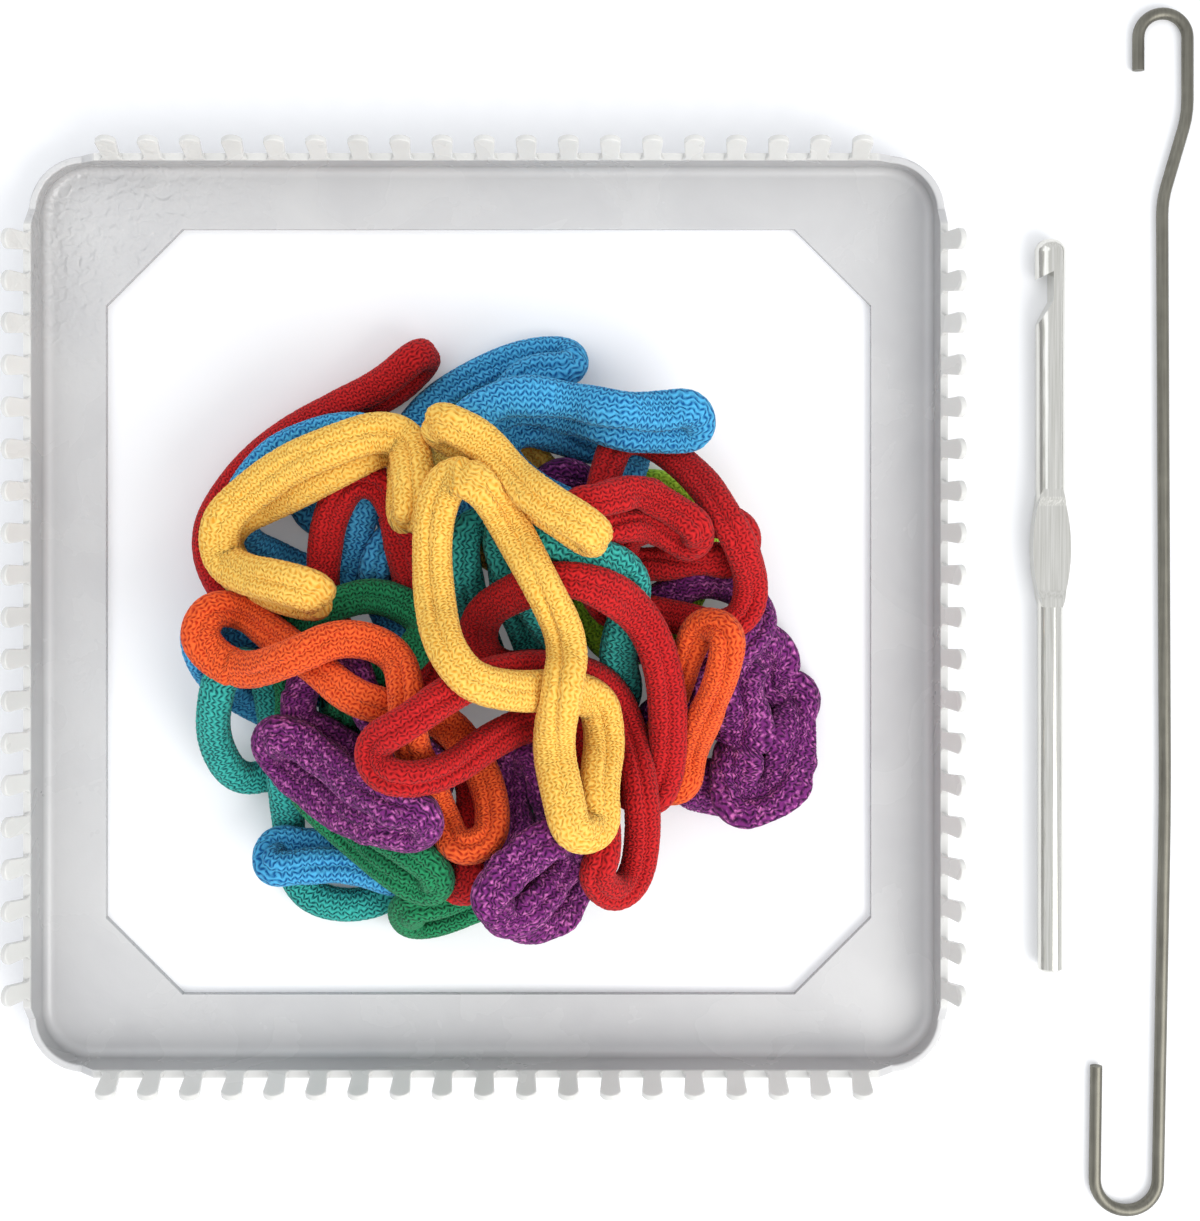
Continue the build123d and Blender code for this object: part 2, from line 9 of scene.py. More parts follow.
import bpy
import numpy as np
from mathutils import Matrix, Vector


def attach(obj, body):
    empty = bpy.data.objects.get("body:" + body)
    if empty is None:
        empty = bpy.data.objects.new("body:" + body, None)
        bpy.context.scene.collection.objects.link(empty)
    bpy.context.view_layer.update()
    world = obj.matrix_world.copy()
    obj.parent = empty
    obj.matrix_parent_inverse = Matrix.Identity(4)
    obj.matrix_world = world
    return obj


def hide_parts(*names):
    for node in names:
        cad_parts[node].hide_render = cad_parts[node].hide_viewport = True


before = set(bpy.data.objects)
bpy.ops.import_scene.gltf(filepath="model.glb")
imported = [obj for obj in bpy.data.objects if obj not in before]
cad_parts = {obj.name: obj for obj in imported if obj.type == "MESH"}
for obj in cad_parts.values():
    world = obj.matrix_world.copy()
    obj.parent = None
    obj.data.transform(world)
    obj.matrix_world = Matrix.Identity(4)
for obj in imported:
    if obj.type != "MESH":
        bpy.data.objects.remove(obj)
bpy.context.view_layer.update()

MM = 0.001
TINY = 1e-9                      # vectors shorter than this have no direction

# Camera, straight above; the picture is 1200 by 1221
PICTURE = (1200, 1221)
AXIS_PIXEL = (600, 474)          # where the camera's axis meets the picture
CAMERA_SPOT = (0.0233, 0.0288, 0.420)
TABLE_SIZE = 0.2100 * MM         # what one pixel covers on the table
SENSOR = 36.0

# How the loops lie, in millimetres, with the same values as the solids
BAND = 5.6                       # thickness of the rolled-up band
SPACE = 0.42                     # air between one band and the next
FOLD = BAND + 2.6                # height of a loop's end where its two strands lie on each other
SHARE = 0.45                     # of the shorter run beside a corner, for the corner's curve
SLOPE = 0.8                      # steepest climb of a strand
FOLD_SLOPE = 0.15                # steepest climb beside a folded end
SAMPLE = 1.0                     # distance between the points at which strands are compared
BACKWARDS = -0.85                # cosine of the turn past which a loop's end counts as folded
TWO_STRANDS = 1.7                # strands of one loop this many bands apart along it count as two
CARRIES = 0.2                    # a corner starts above what lies below points with this share in it
HOLDS = 0.35                     # and is held up by the rules in which it has this share
PASSES = 3                       # the route's curves and its heights are worked out in turn
SETTLED = 0.01                   # heights have settled once none changes by more than this
DROP = 1.0                       # most that a corner sinks in one round
ROUNDS = 120

# Knitted band, in millimetres, when nothing presses on it
CURVE_POINTS = 40                # along the curve at each corner of a plan
HALF_WIDTH = 3.5
HALF_THICK = 2.8
FULLNESS = 2.3                   # of its cross-section; 2 is an ellipse, more has fuller corners
WIDTH_CHANGE = 0.05              # share by which the width changes along the band
THICK_CHANGE = 0.03
TWIST = 0.30                     # how far the band turns to and fro, in radians
LEVELLED = 40                    # times that the way it lies flat is smoothed along it
GROOVE = 1.0                     # depth of the furrow where the two edges roll together
GROOVE_SPREAD = 0.24             # half width of that furrow, in radians
GROOVE_START = 8.0               # length over which it deepens from where the band closes

# What holds a band's surface back, in millimetres
AIR = 0.05                       # left between two bands that press on each other
FLOOR_AIR = 0.08
NEAR = 11.0                      # bands further apart than this don't touch
OWN_NEAR = 7.5                   # the band's own points this near along it don't press on it
FACING = 0.05                    # least cosine between a ray and a point that can stop it
BENT = 0.02                      # least inward curvature that counts as a bend
BEND_SHARE = 0.95                # how much of a bend's inner radius the band may fill
FREE = 99.0                      # reach of a ray that nothing stops
THINNEST = 1.2                   # least distance from the band's middle to its surface
SMOOTHED = (6, 3)                # times that the pressed surface is smoothed along and around

# Yarn, in millimetres: rows of it run along the band, and each yarn waves from side to side
ROWS = 21                        # round the band
COARSE_ROWS = 17                 # round the blue and teal ones, which are knitted more openly
ROW_POINTS = 4                   # mesh points across one row
WAVE = 1.50                      # length of one wave of the yarn
WAVE_POINTS = 4                  # mesh points along one wave
SWAY = 0.27                      # how far a yarn waves, in rows
STITCH = 0.30                    # how far a yarn stands out
DASHED = 0.35                    # share of the depth between rows that comes and goes along them
FRAYED = 0.22                    # how far the fibres stray from their yarn, in rows
UNEVEN = 0.12                    # how far a stitch strays from its place, in rows
STITCH_CLOUD = 4                 # reach of that straying
CRUMPLE_CLOUD = 30               # and of the dents in a crumpled band

# Plastic: painted light makes the pegs paler than the tray, whose corner is rippled
PAINTED_LIGHT_START = 11.6 * MM
PAINTED_LIGHT_BLEND = 1.2 * MM
RIPPLE_SPOT = (-0.080, 0.080, 0.002)
RIPPLE_REACH = 0.030

# Table: a white square, this far from the middle to its sides
TABLE_REACH = 2.5
TABLE_GLOW = 0.12

# Plan of every loop, from the bottom of the heap to its top, as x and y of its corners.  The
# first and the last corner of a flattened loop lie at one end, one strand over the other.
LOOPS = [
    ("lime_loop_1", [(32.5, 27), (38.5, 25), (44, 20), (45, 11.5), (41.5, 2.5), (35, -6),
        (27, -8.5), (21.5, -3), (20.5, 5.5), (23, 13.5), (27, 22)]),
    ("yellow_loop_1", [(-5.5, 42), (3, 39), (10, 31.5), (15.5, 23), (12.5, 13.5), (3.5, 10),
        (-4.5, 16.5), (-7.5, 25.5), (-9, 34.5)]),
    ("purple_loop_1", [(15.5, 29.5), (21.5, 26.5), (23, 18), (20.5, 10), (13.5, 4.5), (6.5, 7.5),
        (5, 16), (8.5, 24)]),
    ("purple_loop_2", [(33.5, -24), (32.5, -31.5), (41.5, -35), (50.5, -37.5), (55, -30),
        (52, -21), (51.5, -12), (44, -11), (41.5, -21)]),
    ("purple_loop_3", [(51, -32), (52, -39), (60, -37.5), (62.5, -28), (65, -18), (58.5, -16),
        (60, -8.5), (52, -6.5), (51.5, -14.5), (53.5, -23)]),
    ("purple_loop_4", [(37.5, 4), (44.5, 7.5), (52.5, 5), (57, -0.5), (53.5, -6), (46.5, -8.5),
        (39, -10.5), (32, -6.5), (31.5, 0)]),
    ("red_loop_1", [(-12.5, 52.5), (-20.5, 45), (-32.5, 41), (-40, 36), (-48, 28.5),
        (-53.5, 20.5), (-54.5, 12.5), (-51.5, 5.5), (-43, 1), (-43.5, -0.5), (-52.5, 2.5),
        (-57, 10), (-57.5, 17.5), (-54, 24.5), (-47.5, 32), (-40, 38), (-31, 42.5), (-21.5, 47),
        (-13.5, 54)]),
    ("blue_loop_1", [(-11.5, 4.5), (-17.5, 12.5), (-21, 22), (-20.5, 31), (-16, 38.5),
        (-9.5, 45.5), (1, 51), (9, 54), (17, 54), (17.5, 50), (9, 50.5), (4, 45.5), (1, 38.5),
        (-3, 30), (-5, 21), (-5.5, 11.5)]),
    ("blue_loop_2", [(-30.5, 38), (-37.5, 36), (-45, 31.5), (-50, 24), (-50.5, 15), (-43.5, 11),
        (-34, 6.5), (-27.5, 11.5), (-32, 17.5), (-39, 21.5), (-37.5, 28.5), (-29, 29), (-21, 31),
        (-21.5, 37.5)]),
    ("blue_loop_3", [(-49.5, -6.5), (-51, 0.5), (-56.5, -0.5), (-57, -7), (-53.5, -14.5),
        (-47, -19.5), (-38.5, -23.5), (-28, -27.5), (-20.5, -31.5), (-17, -24.5), (-23.5, -20),
        (-31, -18), (-40, -14)]),
    ("teal_loop_1", [(-45, -9.5), (-51, -9), (-53.5, -15.5), (-55.5, -25.5), (-52, -35),
        (-43.5, -33.5), (-34, -37), (-24, -46), (-17.5, -53), (-20, -59), (-28, -61.5),
        (-36.5, -60), (-41, -54.5), (-41.5, -45), (-41.5, -34), (-43, -25), (-43.5, -16)]),
    ("blue_loop_4", [(-12.5, -50), (-19.5, -50), (-27.5, -49), (-36, -47.5), (-44, -46.5),
        (-44, -51.5), (-35.5, -50.5), (-27, -50.5), (-20.5, -53), (-12, -53.5)]),
    ("green_loop_1", [(15.5, -52.5), (7, -56.5), (-1, -60.5), (-9.5, -64), (-16.5, -65),
        (-16, -57.5), (-8, -57), (-1.5, -54), (3, -46.5), (8, -41.5), (15.5, -43), (22, -46),
        (22.5, -52)]),
    ("teal_loop_2", [(-31.5, -17), (-30, -25), (-23.5, -32), (-15.5, -31.5), (-12, -23.5),
        (-16.5, -16), (-25, -11.5)]),
    ("blue_loop_5", [(-25.5, 20.5), (-27.5, 13), (-31, 4.5), (-37.5, -4.5), (-31.5, -12.5),
        (-21.5, -12), (-18.5, -4.5), (-23, 4), (-22.5, 12.5), (-16, 19.5), (-17, 27),
        (-24, 27.5)]),
    ("red_loop_2", [(-19, 26.5), (-26, 28), (-31, 21), (-33, 11), (-33, 2), (-26.5, -7.5),
        (-17, -15), (-11, -11.5), (-12, -3.5), (-15.5, 5), (-16.5, 15)]),
    ("blue_loop_6", [(30.5, 34), (23.5, 34), (15.5, 36), (7.5, 38.5), (2.5, 34.5), (6, 28.5),
        (12.5, 24.5), (19.5, 20.5), (25, 24.5), (29.5, 29)]),
    ("red_loop_3", [(-6.5, -53), (-7, -46.5), (-11.5, -43), (-16, -37), (-13.5, -29.5),
        (-6, -27.5), (-1.5, -33.5), (-2, -42), (-2, -52.5)]),
    ("green_loop_2", [(-10.5, -1), (-21.5, 5), (-31, 2.5), (-38.5, -1), (-39.5, -9),
        (-38, -17.5), (-40.5, -27), (-36.5, -36.5), (-27, -44.5), (-17, -50.5), (-9.5, -53.5),
        (-7.5, -48.5), (-15.5, -43), (-26, -38.5), (-31.5, -31), (-30, -21), (-23.5, -12.5),
        (-14.5, -8)]),
    ("purple_loop_5", [(5.5, -27.5), (6.5, -37.5), (4, -45.5), (4, -55.5), (9, -60),
        (16.5, -58), (18.5, -50.5), (15, -42), (13, -34), (11.5, -27)]),
    ("purple_loop_6", [(5, -58), (11, -55), (15.5, -50.5), (19.5, -44.5), (15, -40.5), (8, -45),
        (1, -52.5)]),
    ("teal_loop_3", [(8.5, -4.5), (5, 3), (3.5, 11), (2.5, 18.5), (-4, 18.5), (-4.5, 9.5),
        (-2.5, 1.5), (-1, -7.5), (3, -14.5), (10, -12)]),
    ("red_loop_4", [(51.5, 10.5), (43.5, 12), (34.5, 10), (27.5, 11), (28.5, 18), (39.5, 19),
        (47, 20), (53, 17)]),
    ("red_loop_5", [(23, 22), (24.5, 29.5), (27, 36), (34, 36), (43.5, 28), (48, 21),
        (51.5, 14.5), (54, 7), (53, 0.5), (47.5, -2.5), (39.5, -0.5), (32.5, 1), (26, -0.5),
        (21.5, 5), (20.5, 13.5)]),
    ("red_loop_6", [(18.5, 17.5), (26, 18), (33, 19.5), (41.5, 14), (43.5, 18), (37, 22),
        (31, 26), (25, 24), (17.5, 23)]),
    ("teal_loop_4", [(7, 21.5), (13, 17.5), (18.5, 12.5), (25, 12.5), (30.5, 7.5), (28.5, -0.5),
        (26.5, -8.5), (29, -17.5), (23, -23.5), (16.5, -18), (15.5, -7), (11.5, 0.5), (6, 8.5),
        (3, 16)]),
    ("orange_loop_1", [(33.5, -36), (35, -26.5), (38, -17), (41, -7), (43.5, -0.5), (49, -2),
        (47.5, -11), (44.5, -19.5), (41.5, -28.5), (40.5, -35.5)]),
    ("purple_loop_7", [(-37.5, -20), (-29.5, -24), (-21.5, -31), (-14, -37.5), (-7.5, -32.5),
        (-13.5, -25.5), (-21, -20.5), (-23.5, -12.5), (-27.5, -6.5), (-35, -10.5)]),
    ("red_loop_7", [(3.5, -12), (11.5, -10), (19.5, -15), (24.5, -24), (27, -35), (34, -37.5),
        (37, -30), (37, -16.5), (35, -6), (30.5, 2), (23.5, 7), (15.5, 9), (6.5, 5.5),
        (-0.5, 1), (-2, -7)]),
    ("blue_loop_7", [(-2.5, 36.5), (3.5, 42), (10, 42.5), (17.5, 41), (25.5, 37.5), (34.5, 36.5),
        (43, 37), (42, 42.5), (34.5, 41), (26, 41.5), (17.5, 43.5), (9, 44.5), (2.5, 43.5),
        (-4, 38.5)]),
    ("yellow_loop_2", [(22, 16), (14.5, 21), (7, 26), (0, 32.5), (-8.5, 37.5), (-7, 39.5),
        (1, 35), (6, 29), (12, 24), (22.5, 18)]),
    ("yellow_loop_3", [(-32.5, 3.5), (-41, 5.5), (-49.5, 8), (-54, 14.5), (-50, 20), (-43, 23),
        (-33.5, 27.5), (-25.5, 31.5), (-20, 34.5), (-15.5, 33), (-14.5, 27.5), (-15, 20.5),
        (-12.5, 20.5), (-13, 29), (-14.5, 35.5), (-20, 37.5), (-28.5, 34.5), (-38.5, 30.5),
        (-46.5, 25), (-52, 19.5), (-52.5, 12), (-47, 9), (-39, 8), (-31.5, 6)]),
    ("orange_loop_2", [(-52, -8), (-56, -3), (-53.5, 2.5), (-47.5, 1.5), (-41.5, -3),
        (-32.5, -8), (-24.5, -14), (-17, -16.5), (-7.5, -19), (-0.5, -28.5), (2.5, -36.5),
        (2, -42.5), (-4.5, -44), (-8, -38), (-10.5, -30), (-13.5, -22), (-13.5, -13),
        (-16, -5.5), (-26, -2), (-36, -6.5), (-45.5, -10)]),
    ("purple_loop_8", [(-10.5, -40.5), (-18.5, -39.5), (-28.5, -37), (-37, -32), (-42.5, -27),
        (-40.5, -21), (-33, -25), (-24.5, -30.5), (-17.5, -33.5), (-9.5, -35)]),
    ("red_loop_8", [(24.5, -44.5), (22, -50), (26, -55), (30.5, -52.5), (32, -43.5),
        (31.5, -33.5), (29.5, -23), (25, -13.5), (15.5, -9.5), (4, -9), (-5, -12.5), (-13, -18),
        (-20, -22), (-19, -27.5), (-13, -29), (-5.5, -28), (2, -23), (10, -20), (18.5, -23.5),
        (23, -33.5)]),
    ("yellow_loop_4", [(-6, 28.5), (-9, 20.5), (-9, 6), (-6, -5), (1.5, -12.5), (22.5, -13.5),
        (24.5, -23), (23, -32), (24, -40), (18, -40.5), (16, -32), (14, -23.5), (16, -12.5),
        (17.5, -3.5), (12, 8), (5.5, 19.5), (0.5, 27.5)]),
]



# ---------------------------------------------------------------- how the loops lie
def corners(route):
    """Radius, half turn, tangent length and preceding run of each corner of a closed route."""
    run = route - np.roll(route, 1, 0)
    length = np.linalg.norm(run, axis=1)
    after = np.roll(length, -1)
    cosine = (run * np.roll(run, -1, 0)).sum(1) / (length * after)
    half_turn = np.arccos(np.clip(cosine, -0.99999, 0.99999999)) / 2
    tangent = SHARE * np.minimum(length, after)
    return tangent / np.tan(half_turn), half_turn, tangent, length


def along(route):
    """Points along the rounded closed route, their weights on its corners and their distances."""
    radius, half_turn, tangent, length = corners(route)
    weights = []
    places = []
    total = 0.0
    for i in range(len(route)):
        after = (i + 1) % len(route)
        straight = length[i] - tangent[i - 1] - tangent[i]
        steps = max(1, int(straight / SAMPLE))
        for step in range(steps):
            back = (tangent[i] + straight * (1 - step / steps)) / length[i]
            weights.append(((i - 1, back), (i, 1 - back)))
            places.append(total + straight * step / steps)
        total += straight
        arc = 2 * half_turn[i] * radius[i]
        steps = max(2, int(arc / SAMPLE))
        for step in range(steps):
            angle = 2 * half_turn[i] * step / steps
            rise = radius[i] * (1 - math.cos(angle))
            back = (tangent[i] - radius[i] * math.sin(angle)
                    + rise / math.tan(2 * half_turn[i])) / length[i]
            ahead = rise / math.sin(2 * half_turn[i]) / length[after]
            weights.append(((i - 1, back), (i, 1 - back - ahead), (after, ahead)))
            places.append(total + arc * step / steps)
        total += arc
    matrix = np.zeros((len(weights), len(route)))
    for row, terms in enumerate(weights):
        for corner_index, weight in terms:
            matrix[row, corner_index] += weight
    return matrix @ route, matrix, np.array(places), total


def lay(plan, heap):
    """The plan's route in space, so that its band lies on the heap's points and on itself."""
    count = len(plan)
    reach = BAND + SPACE
    one = np.eye(count)
    run = np.linalg.norm(plan - np.roll(plan, 1, 0), axis=1)
    folded = []
    for i in range(count):
        j = (i + 1) % count
        before = plan[i] - plan[i - 1]
        after = plan[(j + 1) % count] - plan[j]
        back = np.dot(before, after) / (np.linalg.norm(before) * np.linalg.norm(after))
        folded.append(run[j] < FOLD and back < BACKWARDS)
    # A fold stands up by its own height, and every other run climbs gently
    shape_rules = [one]
    shape_bounds = [np.full(count, BAND / 2)]
    for i in range(count):
        j = (i + 1) % count
        low, high = min(i, j), max(i, j)
        if folded[i]:
            shape_rules.append((one[high] - one[low])[None])
            shape_bounds.append([math.sqrt(FOLD ** 2 - run[j] ** 2)])
        else:
            steep = FOLD_SLOPE if folded[i - 1] or folded[j] else SLOPE
            shape_rules.append(np.array([one[high] - one[low], one[low] - one[high]]))
            shape_bounds.append([-steep * run[j]] * 2)
    route = np.column_stack([plan, np.zeros(count)])
    for _ in range(PASSES):
        points, matrix, places, total = along(route)
        spots = points[:, :2]
        least = np.full(len(points), BAND / 2)
        if len(heap):
            apart = ((spots[:, None, :] - heap[None, :, :2]) ** 2).sum(2)
            over = heap[None, :, 2] + np.sqrt(np.clip(reach ** 2 - apart, 0, None))
            least = np.maximum(least, np.where(apart < reach ** 2, over, 0).max(1))
        # Where the loop crosses itself, the later strand lies on the earlier one
        ahead = places[:, None] - places[None, :]
        gap = np.minimum(ahead % total, (-ahead) % total)
        apart = ((spots[:, None, :] - spots[None, :, :]) ** 2).sum(2)
        crossing = (apart < reach ** 2) & (gap > TWO_STRANDS * reach) & (ahead > 0)
        upper, lower = np.nonzero(crossing)
        rules = np.vstack([matrix, matrix[upper] - matrix[lower]] + shape_rules)
        bounds = np.concatenate([least, np.sqrt(reach ** 2 - apart[upper, lower])] + shape_bounds)
        # Start above everything and let each corner sink until a rule holds it
        height = np.array([least[matrix[:, i] > CARRIES].max() for i in range(count)])
        own = [np.nonzero(rules[:, i] >= HOLDS)[0] for i in range(count)]
        for _ in range(ROUNDS):
            old = height.copy()
            for i in range(count):
                mine = rules[own[i]]
                held = ((bounds[own[i]] - mine @ height) / mine[:, i] + height[i]).max()
                height[i] = max(held, height[i] - DROP)
            if abs(height - old).max() < SETTLED:
                break
        route = np.column_stack([plan, height])
    return route


def closed_curve(route):
    """Points on the smooth closed curve that the route's corners draw, for whole waves of yarn."""
    start = (route + np.roll(route, 1, 0)) / 2
    end = (route + np.roll(route, -1, 0)) / 2
    share = np.linspace(0, 1, CURVE_POINTS, endpoint=False)[None, :, None]
    curve = ((1 - share) ** 2 * start[:, None] + 2 * share * (1 - share) * route[:, None]
             + share ** 2 * end[:, None]).reshape(-1, 3)
    step = np.linalg.norm(np.roll(curve, -1, 0) - curve, axis=1)
    reach = np.concatenate([[0], np.cumsum(step)])
    count = WAVE_POINTS * int(round(reach[-1] / WAVE))
    wanted = np.linspace(0, reach[-1], count, endpoint=False)
    closed = np.vstack([curve, curve[:1]])
    return np.column_stack([np.interp(wanted, reach, closed[:, k]) for k in range(3)])


def blur(values, times, axis=0):
    """Values smoothed along a closed axis."""
    for _ in range(times):
        values = (np.roll(values, 1, axis) + 2 * values + np.roll(values, -1, axis)) / 4
    return values


def cloud(rng, count, around, reach):
    """Smooth noise on the closed surface, as strong as normal noise; reach is in points, squared."""
    noise = rng.normal(size=(count, around))
    rows = np.minimum(np.arange(count), count - np.arange(count))
    spots = np.minimum(np.arange(around), around - np.arange(around))
    kernel = np.exp(-(rows[:, None] ** 2 + spots[None, :] ** 2) / reach)
    soft = np.fft.ifft2(np.fft.fft2(noise) * np.fft.fft2(kernel)).real
    return soft / soft.std()


def wander(rng, count, waves, size):
    """A slow, closed, random wave with count values."""
    turn = np.linspace(0, 2 * math.pi, count, endpoint=False)
    wave = np.zeros(count)
    for k in range(1, waves + 1):
        wave += rng.normal() * np.cos(k * turn + rng.uniform(0, 2 * math.pi)) / math.sqrt(waves)
    return size * wave


def unit(vectors):
    """Each vector at length 1."""
    return vectors / np.maximum(np.linalg.norm(vectors, axis=-1, keepdims=True), TINY)


def carried(direction, before, after):
    """A direction turned as much as the tangent turns from before to after."""
    turn = np.cross(before, after)
    sine = np.linalg.norm(turn)
    if sine <= TINY:
        return direction
    axis = turn / sine
    angle = math.atan2(sine, float(np.dot(before, after)))
    return (direction * math.cos(angle) + np.cross(axis, direction) * math.sin(angle)
            + axis * np.dot(axis, direction) * (1 - math.cos(angle)))


def carried_frame(line):
    """Tangents, and two directions across, carried along the closed line without needless twist."""
    tangent = unit(np.roll(line, -1, 0) - np.roll(line, 1, 0))
    side = np.cross(tangent[0], (0, 0, 1))
    if np.linalg.norm(side) < 0.1:
        side = np.array((1.0, 0, 0))
    sides = [side / np.linalg.norm(side)]
    for i in range(1, len(line)):
        side = carried(sides[-1], tangent[i - 1], tangent[i])
        side = side - tangent[i] * np.dot(side, tangent[i])
        sides.append(side / np.linalg.norm(side))
    sides = np.array(sides)
    return tangent, sides, np.cross(tangent, sides)


def level_angle(tangent, side, up):
    """Angle in the carried frame at which the band lies flat; it changes without jumps."""
    level = np.cross(tangent, (0, 0, 1.0))
    weight = np.linalg.norm(level, axis=1) ** 2
    twice = 2 * np.arctan2((level * up).sum(1), (level * side).sum(1))
    vector = np.column_stack([np.cos(twice), np.sin(twice)]) * weight[:, None]
    vector = blur(vector, LEVELLED)
    return np.unwrap(np.arctan2(vector[:, 1], vector[:, 0])) / 2


def rolled_shape(rng, length, count, phi, width):
    """The band's reach from its middle where nothing presses on it, with its furrow."""
    wide = HALF_WIDTH * width * (1 + wander(rng, count, waves=9, size=WIDTH_CHANGE))
    thick = HALF_THICK * (1 + wander(rng, count, waves=6, size=THICK_CHANGE))
    across = np.abs(np.cos(phi))[None, :] / wide[:, None]
    through = np.abs(np.sin(phi))[None, :] / thick[:, None]
    shape = 1 / (across ** FULLNESS + through ** FULLNESS) ** (1 / FULLNESS)
    # The furrow is at minus a quarter turn; it comes and goes, and isn't there where the band closes
    place = np.arange(count) * (length / count)
    fade = np.clip(np.minimum(place, length - place) / GROOVE_START, 0, 1)
    fade *= np.clip(0.75 + wander(rng, count, waves=6, size=0.35), 0.25, 1.1)
    away = (phi + math.pi / 2 + math.pi) % (2 * math.pi) - math.pi
    return shape - GROOVE * fade[:, None] * np.exp(-(away / GROOVE_SPREAD) ** 2)[None, :]


def pressed_limit(line, tangent, ray, others, step):
    """How far the surface can reach along each ray: half way to what is near, and into no bend."""
    count, around = ray.shape[:2]
    limit = np.full((count, around), FREE)
    # Every second ring is measured, and the next one takes over what it found
    places = np.arange(0, count, 2)
    for i in places:
        far_along = np.minimum((places - i) % count, (i - places) % count)
        own = line[::2][far_along * step > OWN_NEAR]
        near = np.vstack([points[np.abs(points - line[i]).max(1) < NEAR] for points in (others, own)])
        if len(near):
            towards = near - line[i]
            gap = np.linalg.norm(towards, axis=1)
            facing = ray[i] @ (towards / gap[:, None]).T
            reach = np.where(facing > FACING, (gap / 2 - AIR) / np.maximum(facing, FACING), FREE)
            limit[i] = np.minimum(limit[i], reach.min(1))
        limit[(i + 1) % count] = limit[i]
    bend = (np.roll(tangent, -2, 0) - np.roll(tangent, 2, 0)) / (4 * step)
    inward = np.einsum("iaj,ij->ia", ray, blur(bend, 3))
    return np.minimum(limit, np.where(inward > BENT, BEND_SHARE / np.maximum(inward, BENT), FREE))


def knit_band(name, line, others, seed, options):
    """One closed knitted band along a smooth line, pressed flat where other bands touch it."""
    rng = np.random.default_rng(seed)
    count = len(line)
    length = np.linalg.norm(np.roll(line, -1, 0) - line, axis=1).sum()
    around = options["rows"] * ROW_POINTS
    tangent, side, up = carried_frame(line)
    twist = (level_angle(tangent, side, up)
             + wander(rng, count, waves=4, size=options.get("twist", TWIST))
             + options.get("roll", 0.0))
    # Where the line closes, the carried frame has turned, and so has the band
    last_side = carried(side[-1], tangent[-1], tangent[0])
    home = math.atan2(np.dot(last_side, up[0]), np.dot(last_side, side[0]))
    total = home + (twist[-1] - twist[0])
    grid = 2 * math.pi / around
    offset = ROW_POINTS * round(total / grid / ROW_POINTS)
    twist = twist + (offset * grid - total) * np.arange(count) / count
    phi = np.arange(around) * grid
    angle = phi[None, :] + twist[:, None]
    ray = (np.cos(angle)[..., None] * side[:, None, :] + np.sin(angle)[..., None] * up[:, None, :])
    shape = rolled_shape(rng, length, count, phi, options.get("width", 1.0))
    radius = np.minimum(shape, pressed_limit(line, tangent, ray, others, length / count))
    radius = blur(blur(radius, SMOOTHED[0], axis=0), SMOOTHED[1], axis=1)
    radius = np.maximum(radius, THINNEST)
    if options.get("crumple"):
        radius *= 1 + options["crumple"] * cloud(rng, count, around, CRUMPLE_CLOUD)
    # Rows of yarn, each waving from side to side, a little unevenly
    wave = (np.arange(count) / WAVE_POINTS)[:, None] + UNEVEN * cloud(rng, count, around, STITCH_CLOUD)
    row = (np.arange(around) / ROW_POINTS)[None, :] + UNEVEN * cloud(rng, count, around, STITCH_CLOUD)
    between = 0.5 - 0.5 * np.cos(2 * math.pi * (row - SWAY * np.sin(2 * math.pi * wave)))
    dip = (1 - DASHED) + DASHED * np.cos(4 * math.pi * wave)
    radius += STITCH * (0.5 - between * dip)
    points = line[:, None, :] + ray * radius[..., None]
    points[..., 2] = np.maximum(points[..., 2], FLOOR_AIR)
    return closed_mesh(name, points.reshape(-1, 3) * MM, wave, row, offset)


def closed_mesh(name, points, wave, row, offset):
    """A ring-shaped mesh; the last ring meets the first one, turned by offset points."""
    rings, around = wave.shape
    ring, spot = np.meshgrid(np.arange(rings), np.arange(around), indexing="ij")
    next_ring = (ring + 1) % rings
    shift = np.where(ring == rings - 1, offset, 0)
    quads = np.stack([
        ring * around + spot,
        next_ring * around + (spot + shift) % around,
        next_ring * around + (spot + 1 + shift) % around,
        ring * around + (spot + 1) % around], axis=-1).reshape(-1, 4)
    mesh = bpy.data.meshes.new(name)
    mesh.vertices.add(len(points))
    mesh.vertices.foreach_set("co", points.astype(np.float32).ravel())
    mesh.loops.add(quads.size)
    mesh.loops.foreach_set("vertex_index", quads.ravel().astype(np.int32))
    mesh.polygons.add(len(quads))
    mesh.polygons.foreach_set("loop_start", np.arange(0, quads.size, 4, dtype=np.int32))
    mesh.update(calc_edges=True)
    # Waves and rows at each corner, for the material; both run on over the places where they close
    yarn = np.stack([wave.ravel()[quads], row.ravel()[quads]], axis=-1).reshape(rings, around, 4, 2)
    yarn[-1, :, 1:3, 0] += rings / WAVE_POINTS
    here = np.stack([spot, spot + shift, spot + 1 + shift, spot + 1], axis=-1)
    turned = np.stack([0 * shift, shift, shift, 0 * shift], axis=-1)
    yarn[..., 1] += (here // around) * (around // ROW_POINTS) - turned / ROW_POINTS
    stitches = mesh.uv_layers.new(name="stitches")
    stitches.data.foreach_set("uv", yarn.astype(np.float32).ravel())
    mesh.shade_smooth()
    mesh.validate()
    piece = bpy.data.objects.new(name, mesh)
    bpy.context.scene.collection.objects.link(piece)
    return piece


